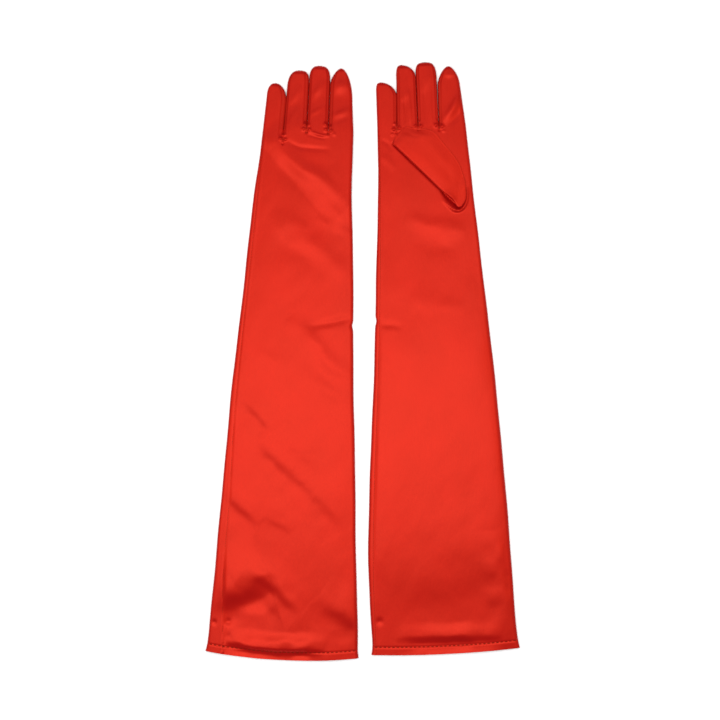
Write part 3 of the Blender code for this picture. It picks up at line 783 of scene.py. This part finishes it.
RIGHT_FOLDS = (
    # the hollow and rim where the thumb leaves the palm
    Fold(((18.0, 472.0), (24, 465.0), (29.6, 458.8), (37.4, 449.6)), 2.0, -4.3),
    Fold(((19, 462), (24, 455.6), (30, 450.2), (36.0, 449.2), (41.2, 453), (44.4, 461), (45.6, 472)),
         1.2, 1.7),
    # across the wrist
    Fold(((-22, 442), (10, 434), (44, 427)), 8.5, 0.8),
    Fold(((-16, 420), (10, 414), (38, 409)), 9.0, -0.3),
    Fold(((-46, 508), (-36, 504), (-28, 492)), 4.5, 0.3),
    Fold(((-43, 526), (-34, 520), (-30, 512)), 2.4, -0.3),
    # from the crotches over the index finger's base
    Fold(((23, 539), (31, 549), (38, 559), (46, 575)), 4.2, 1.8),
    Fold(((29, 536), (37, 543), (46, 556)), 3.0, -0.6),
    Fold(((26, 590), (32, 588), (40, 590)), 3.0, 0.6),
    # lengthwise strain on the fingers
    Fold(((-15, 538), (-14, 556), (-14.5, 578)), 1.0, -0.55),
    Fold(((-9.5, 538), (-9, 554), (-9.4, 572)), 1.0, 0.50),
    Fold(((5, 538), (6, 558), (6.6, 582)), 1.0, -0.55),
    Fold(((11.5, 538), (12, 558), (12.4, 576)), 1.0, 0.50),
    Fold(((-18, 562), (-9, 574)), 4.0, 0.5),
    Fold(((3, 570), (9, 580), (13, 592)), 4.5, 0.5),
    # the packing crease
    Fold(((-60, 337), (-46, 336), (-26, 333)), 3.4, -0.4),
    Fold(((-18, 362), (8, 356), (36, 348)), 9.0, 0.35),
    # the upper sleeve
    Fold(((-160, 70), (0, 76), (160, 82)), 52.0, 2.2, 1),
    Fold(((160, 362), (0, 360), (-160, 358)), 70.0, 2.6, 1),
    Fold(((-50, 50), (14, 63), (70, 84)), 18.0, 0.4, 1),
    Fold(((62, 124), (68, 72), (78, 0)), 9.0, -2.0, 1),
    Fold(((-50, 14.5), (6, 14.4), (62, 13.4)), 4.6, 2.2, 1),
)
RIGHT_BUMPS = (
    (-26.8, 534.6, 1.7, 1.4), (-21.2, 535.4, 1.6, 1.3), (-24.0, 530.8, 1.2, -0.8), (-26.0, 540.0, 1.2, 0.9),
    (-28.4, 529.6, 1.3, 0.7), (-5.0, 536.4, 1.6, 1.3), (1.0, 536.0, 1.6, 1.3), (-2.0, 532.6, 1.1, -0.8),
    (-0.6, 541.0, 1.1, 0.7), (-2.0, 537.6, 0.8, -0.6), (16.2, 536.6, 1.9, 1.5), (22.2, 535.2, 1.9, 1.5),
    (19.2, 531.4, 1.1, -0.8), (17.2, 541.0, 1.2, 0.8), (19.4, 537.0, 0.8, -0.6), (23.6, 530.6, 1.3, 0.6),
    (-64.7, 34.7, 3.0, -0.7), (-59.0, 338.0, 2.2, -0.4),
)


# Materials


def new_material(name):
    material = bpy.data.materials.new(name)
    material.use_nodes = True
    nodes, links = material.node_tree.nodes, material.node_tree.links
    return material, nodes, links, nodes["Principled BSDF"]


def satin(name, light, dark, roughness=0.50, metallic=0.42, coat=0.04):
    """Satin: long floats of thread along the glove, over a fine weave, with slow changes of shade."""
    material, nodes, links, shader = new_material(name)
    cloth = nodes.new("ShaderNodeAttribute")
    cloth.attribute_name = "cloth"
    split = nodes.new("ShaderNodeSeparateXYZ")
    links.new(cloth.outputs["Vector"], split.inputs[0])
    x, y = split.outputs["X"], split.outputs["Y"]

    def calc(operation, *values):
        node = nodes.new("ShaderNodeMath")
        node.operation = operation
        for socket, value in zip(node.inputs, values):
            if isinstance(value, (int, float)):
                socket.default_value = value
            else:
                links.new(value, socket)
        return node.outputs[0]

    def noise(scale_x, scale_y, detail, rough=0.5):
        mapping = nodes.new("ShaderNodeMapping")
        mapping.inputs["Scale"].default_value = (scale_x, scale_y, 40.0)
        links.new(cloth.outputs["Vector"], mapping.inputs["Vector"])
        texture = nodes.new("ShaderNodeTexNoise")
        texture.inputs["Scale"].default_value = 1.0
        texture.inputs["Detail"].default_value = detail
        texture.inputs["Roughness"].default_value = rough
        links.new(mapping.outputs["Vector"], texture.inputs["Vector"])
        return texture.outputs["Fac"]

    slow, streaks, slubs = noise(28, 18, 3), noise(900, 60, 3), noise(2600, 240, 2)
    tone = calc("MULTIPLY", slow, 0.75)
    tone = calc("ADD", tone, calc("MULTIPLY", streaks, 0.25))
    ramp = nodes.new("ShaderNodeValToRGB")
    ramp.color_ramp.elements[0].position = 0.30
    ramp.color_ramp.elements[0].color = (*dark, 1)
    ramp.color_ramp.elements[1].position = 0.72
    ramp.color_ramp.elements[1].color = (*light, 1)
    links.new(tone, ramp.inputs["Fac"])
    links.new(ramp.outputs["Color"], shader.inputs["Base Color"])
    spread_of = nodes.new("ShaderNodeMapRange")
    spread_of.inputs["To Min"].default_value = roughness - 0.05
    spread_of.inputs["To Max"].default_value = roughness + 0.07
    links.new(slubs, spread_of.inputs["Value"])
    links.new(spread_of.outputs["Result"], shader.inputs["Roughness"])
    warp = calc("SINE", calc("MULTIPLY", x, 2 * math.pi / 0.00034))
    across, along = calc("MULTIPLY", x, 2 * math.pi / 0.0017), calc("MULTIPLY", y, 2 * math.pi / 0.00052)
    twill = calc("SINE", calc("ADD", across, along))
    weave_height = calc("ADD", warp, calc("MULTIPLY", twill, 0.6))
    fine = nodes.new("ShaderNodeBump")
    fine.inputs["Strength"].default_value = 0.55
    fine.inputs["Distance"].default_value = 0.000012
    links.new(weave_height, fine.inputs["Height"])
    coarse = nodes.new("ShaderNodeBump")
    coarse.inputs["Strength"].default_value = 0.7
    coarse.inputs["Distance"].default_value = 0.0001
    slack = calc("MULTIPLY", noise(210, 90, 2), 1.3)
    links.new(calc("ADD", streaks, slack), coarse.inputs["Height"])
    links.new(fine.outputs["Normal"], coarse.inputs["Normal"])
    links.new(coarse.outputs["Normal"], shader.inputs["Normal"])
    for socket, value in (
        ("Metallic", metallic), ("Specular IOR Level", 0.5), ("Specular Tint", (1.0, 0.50, 0.10, 1.0)),
        ("Coat Weight", coat), ("Coat Roughness", 0.30), ("Anisotropic", 0.68),
        ("Sheen Weight", 0.03), ("Sheen Roughness", 0.45), ("Sheen Tint", (1.0, 0.2, 0.12, 1.0)),
    ):
        shader.inputs[socket].default_value = value
    tangent = nodes.new("ShaderNodeTangent")
    tangent.direction_type = "UV_MAP"
    tangent.uv_map = "grain"
    links.new(tangent.outputs["Tangent"], shader.inputs["Tangent"])
    return material


satin_red = satin("satin_red", (0.455, 0.0022, 0.0044), (0.415, 0.0018, 0.0038))
# a darker copy of the satin for the fourchette strips: painted shade for the valleys between the fingers
satin_fourchette_painted_shade = satin("satin_fourchette_painted_shade", (0.42, 0.0022, 0.0042), (0.37, 0.0018, 0.0036))
satin_wrong = satin("satin_wrong_side", (0.34, 0.0060, 0.0060), (0.27, 0.0048, 0.0048), 0.7, 0.0, 0.0)
thread_red = satin("thread_red", (0.15, 0.0022, 0.0028), (0.10, 0.0018, 0.0022), 0.6, 0.1, 0.0)
thread_dark = satin("thread_dark", (0.20, 0.0018, 0.0024), (0.15, 0.0016, 0.0020), 0.6, 0.1, 0.0)
thread_bright = satin("thread_bright", (0.42, 0.0050, 0.0060), (0.36, 0.0040, 0.0050), 0.45, 0.2, 0.0)


def build_glove(side):
    glove = Glove(side)
    ys, p, normals, cloth_at = glove.trank()
    top = 4 * TOP_COLUMNS
    kinds = np.zeros(p.shape[1], int)
    cuts = [0] + [int(np.argmin(abs(ys - y))) for y in (ELBOW_Y, WRIST_Y, KNUCKLE_Y)]
    arm = {
        "upper": lambda obj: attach(obj, f"{side}_upper_arm"),
        "forearm": lambda obj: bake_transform(obj, f"{side}_upper_arm", f"{side}_forearm",
                                        glove.point(0, ELBOW_Y), glove.point(0, ELBOW_Y + 0.034)),
        "hand": lambda obj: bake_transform(obj, f"{side}_forearm", f"{side}_hand",
                                     glove.point(0, WRIST_Y), glove.point(0, WRIST_Y + 0.022)),
    }
    names = {"upper": "upper_sleeve", "forearm": "forearm_sleeve", "hand": "hand_trank"}
    made = {}
    for (part, follow), a, b in zip(arm.items(), cuts, cuts[1:]):
        rows = slice(a, b + 1)
        obj = tube(f"{side}_{names[part]}_satin", p[rows], normals[rows], cloth_at[rows],
                   [satin_red, satin_wrong], kinds)
        follow(obj)
        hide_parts(f"{side}_{names[part]}")
        seam_y = np.arange(ys[a] + MM, ys[b] - 0.0006, MM)
        if part == "hand":
            seam_y = seam_y[seam_y < 0.530]
        seam_x = glove.seam(seam_y)
        line = glove.world(seam_x, glove.hem_y(seam_x, seam_y), glove.top(seam_x, seam_y))
        thread = stitches(f"{side}_{part}_seam_stitches", line, 1.9 * MM, 0.5 * MM, 0.16 * MM)
        follow(thread)
        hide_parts(f"{side}_{part}_seam_thread")
        start = ys[a] + 9 * MM * (part == "upper")
        allowance = strip_inside(glove, f"{side}_{part}_seam_turnings", start, ys[b])
        follow(allowance)
        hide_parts(f"{side}_{part}_seam_allowance")
        made[part] = [obj, thread, allowance]

    rows = slice(1, int(np.argmin(abs(ys - HEM_DEPTH))) + 1)
    band = tube(f"{side}_hem_turned_in", p[rows] - normals[rows] * (CLOTH + 0.2 * MM), normals[rows],
                cloth_at[rows], [satin_wrong, satin_wrong], kinds)
    arm["upper"](band)
    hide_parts(f"{side}_hem_band")
    left, right = glove.edges(np.array(HEM_DEPTH))
    x = np.linspace(left + 2.5 * MM, right - 2.5 * MM, 150)
    y = x * 0 + HEM_DEPTH
    row = stitches(f"{side}_hem_stitches", glove.world(x, glove.hem_y(x, y), glove.top(x, y)),
                   2.6 * MM, 1.8 * MM, 0.45 * MM, 0.8)
    row.data.materials[0] = thread_dark
    arm["upper"](row)
    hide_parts(f"{side}_hem_thread")
    made["upper"] += [band, row]

    for n, name in enumerate(TACKS):
        cx, cy = glove.splits[n] * MM, min(glove.crotches[n] - 5.0, 534.0) * MM
        lines = []
        for k in range(4):
            x = np.linspace(cx - 1.5 * MM, cx + 1.5 * MM, 7)
            y = cy + (k - 1.5) * 0.55 * MM + (x - cx) * 0.12 * (-1) ** k
            lines.append(glove.world(x, y, glove.top(x, y) + 0.1 * MM))
        knots = [stitches(f"{side}_{name}_tack_{k}", line, 3 * MM, 0.1 * MM, 0.26 * MM, 0.9)
                 for k, line in enumerate(lines)]
        tack = joined(f"{side}_{name}_tack_stitches", knots)
        tack.data.materials[0] = thread_bright
        arm_end = f"{side}_hand"
        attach(tack, arm_end)
        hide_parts(f"{side}_{name}_tack")
        made["hand"].append(tack)

    for n, finger in enumerate(FINGERS):
        over = slice(n * TOP_COLUMNS, (n + 1) * TOP_COLUMNS)
        under = slice(top + (3 - n) * BOTTOM_COLUMNS, top + (4 - n) * BOTTOM_COLUMNS)
        start = np.concatenate([p[-1, over], p[-1, under]])
        start_normals = np.concatenate([normals[-1, over], normals[-1, under]])
        fp, fn, fc, fkinds = glove.finger(n, start, start_normals)
        obj = tube(f"{side}_{finger}_satin", fp, fn, fc, [satin_red, satin_fourchette_painted_shade, satin_wrong],
                   fkinds, capped=True)
        glove.point(0, KNUCKLE_Y)
        glove.point(0, KNUCKLE_Y + 0.010)
        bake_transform(obj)
        nodes = [k for k in frame["nodes"] if k.startswith(f"{side}_{finger}_") and "tack" not in k]
        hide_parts(*nodes)

    tp, tn, tc = glove.thumb()
    thumb = tube(f"{side}_thumb_satin", tp, tn, tc, [satin_red, satin_wrong],
                 np.zeros(tp.shape[1], int), capped=True, cloth=THUMB_CLOTH)
    bend = (glove.point(0.0436, 0.470), glove.point(0.030, 0.470))
    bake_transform(thumb)
    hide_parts(f"{side}_thumb_shell")
    seam_line = tp[8:-10, THUMB_SEAM_COLUMN]
    thread = stitches(f"{side}_thumb_seam_stitches", seam_line, 1.9 * MM, 0.5 * MM, 0.14 * MM)
    thread.data.materials[0] = thread_bright
    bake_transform(thread)
    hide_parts(f"{side}_thumb_seam_thread")


def joined(name, objects):
    """One object out of several of one material."""
    points, faces = [], []
    for obj in objects:
        base = len(points)
        points += [tuple(v.co) for v in obj.data.vertices]
        faces += [tuple(base + i for i in f.vertices) for f in obj.data.polygons]
    material = objects[0].data.materials[0]
    for obj in objects:
        bpy.data.objects.remove(obj)
    return solid(name, np.array(points), faces, material)


def strip_inside(glove, name, start, end):
    """The side seam's two turned-in edges of cloth, a thin strip inside the glove."""
    ys = np.linspace(start, end, max(3, int((end - start) / (4 * MM))))
    seam = np.maximum(glove.seam(ys), glove.edges(ys)[0] + 2.2 * MM)
    reach, half_thick = 5 * MM, 0.3 * MM
    height = 0.5 * (glove.top(seam, ys) + TABLE_GAP) + half_thick  # its underside is halfway up
    y = glove.hem_y(seam, ys)
    corners = ((0, half_thick), (reach, half_thick), (reach, -half_thick), (0, -half_thick))
    rings = np.stack([glove.world(seam + over, y, height + up) for over, up in corners], 1)
    rows = len(ys)
    faces = []
    for r in range(rows - 1):
        for k in range(4):
            faces.append((r * 4 + k, r * 4 + (k + 1) % 4, r * 4 + 4 + (k + 1) % 4, r * 4 + 4 + k))
    faces += [(3, 2, 1, 0), tuple((rows - 1) * 4 + k for k in range(4))]
    return solid(name, rings.reshape(-1, 3), faces, satin_wrong, rounded=False)


build_glove("left")
build_glove("right")


# The table, the light and the camera


def plain_floor():
    mesh = bpy.data.meshes.new("table_top")
    half = 6.0
    corners = [(-half, -half, 0), (half, -half, 0), (half, half, 0), (-half, half, 0)]
    mesh.from_pydata(corners, [], [(0, 1, 2, 3)])
    floor = linked("table_top", mesh)
    material, nodes, links, shader = new_material("table_white")
    shader.inputs["Base Color"].default_value = (0.97, 0.97, 0.97, 1)
    shader.inputs["Roughness"].default_value = 0.9
    shader.inputs["Specular IOR Level"].default_value = 0.1
    mesh.materials.append(material)


def area_light(name, place, target, size, power, turn=0.0):
    data = bpy.data.lights.new(name, "AREA")
    data.shape = "RECTANGLE"
    data.size, data.size_y = size
    data.energy = power
    obj = linked(name, data)
    obj.location = place
    obj.rotation_euler = (Vector(target) - Vector(place)).to_track_quat("-Z", "Y").to_euler()
    obj.rotation_euler.rotate_axis("Z", math.radians(turn))


plain_floor()
area_light("overhead_softbox", (-0.10, -0.085, 1.2), (-0.10, -0.085, 0.0), (1.2, 0.55), 15.0, turn=8.0)
area_light("far_softbox", (-0.08, 0.70, 1.15), (-0.02, 0.25, 0.0), (1.2, 0.5), 4.0)
world = bpy.data.worlds.new("studio")
world.use_nodes = True
world.node_tree.nodes["Background"].inputs["Color"].default_value = (1, 1, 1, 1)
world.node_tree.nodes["Background"].inputs["Strength"].default_value = 0.34
bpy.context.scene.world = world

VIEW = (-0.0036, 0.00135)
FRAME_WIDTH = 0.7337
camera_data = bpy.data.cameras.new("camera")
camera_data.sensor_width = 36.0
camera_data.lens = 90.0
camera_data.clip_end = 30.0
camera = linked("camera", camera_data)
camera.location = (*VIEW, FRAME_WIDTH * camera_data.lens / camera_data.sensor_width)
bpy.context.scene.camera = camera
bpy.context.scene.view_settings.view_transform = "Standard"
